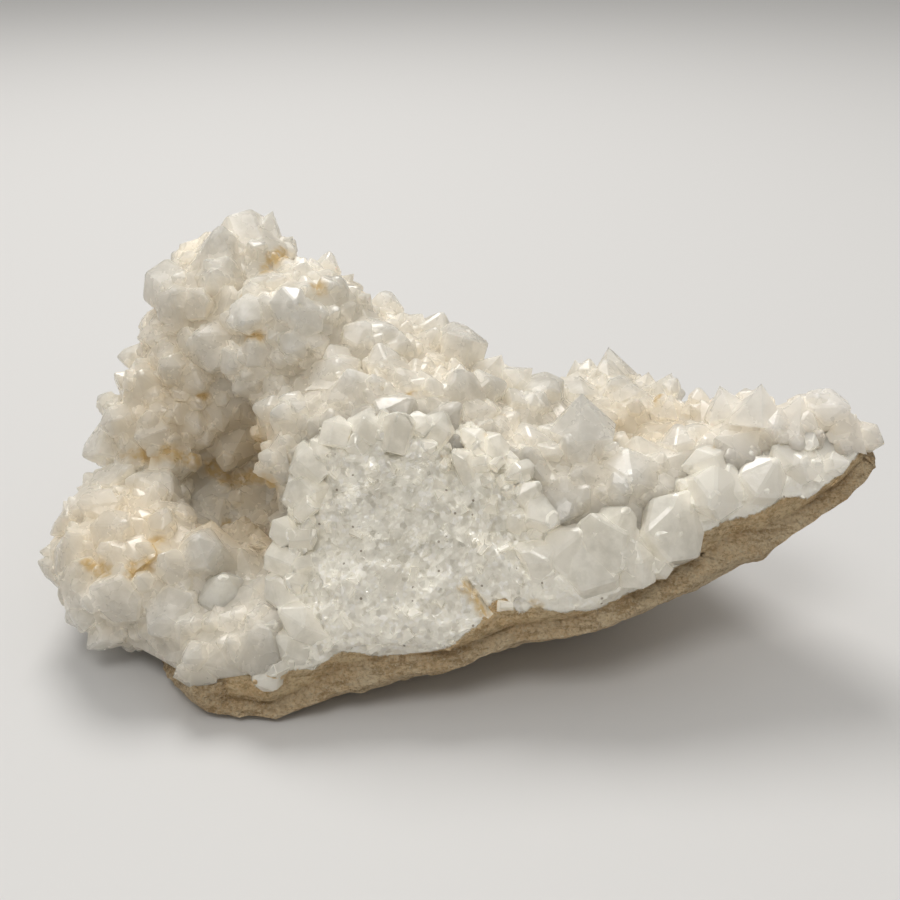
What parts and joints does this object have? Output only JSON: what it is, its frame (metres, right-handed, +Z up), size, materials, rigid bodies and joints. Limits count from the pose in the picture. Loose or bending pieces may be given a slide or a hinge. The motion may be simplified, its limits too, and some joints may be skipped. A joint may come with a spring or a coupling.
{
  "type": "quartz geode",
  "caption": "Broken fragment of a quartz geode: tan rind below, thick white wall, and a crust of clear pointed crystals over a peak, a ridge, a deep hollow and a shallow basin.",
  "frame": {"origin": "middle of the bounding box, at the height of the surface that the fragment rests on", "axes": "+X along the fragment towards its low pointed arm, +Y away from the broken front, +Z up"},
  "size_m": [0.1628, 0.0826, 0.0765],
  "materials": {
    "rind": "weathered matt limestone skin",
    "massive_quartz": "white granular broken quartz",
    "crystal_quartz": "milky to clear crystal faces"
  },
  "bodies": {
    "root": {"rind": "rind", "quartz_wall": "massive_quartz", "crystal_crust": "crystal_quartz"}
  },
  "joints": []
}
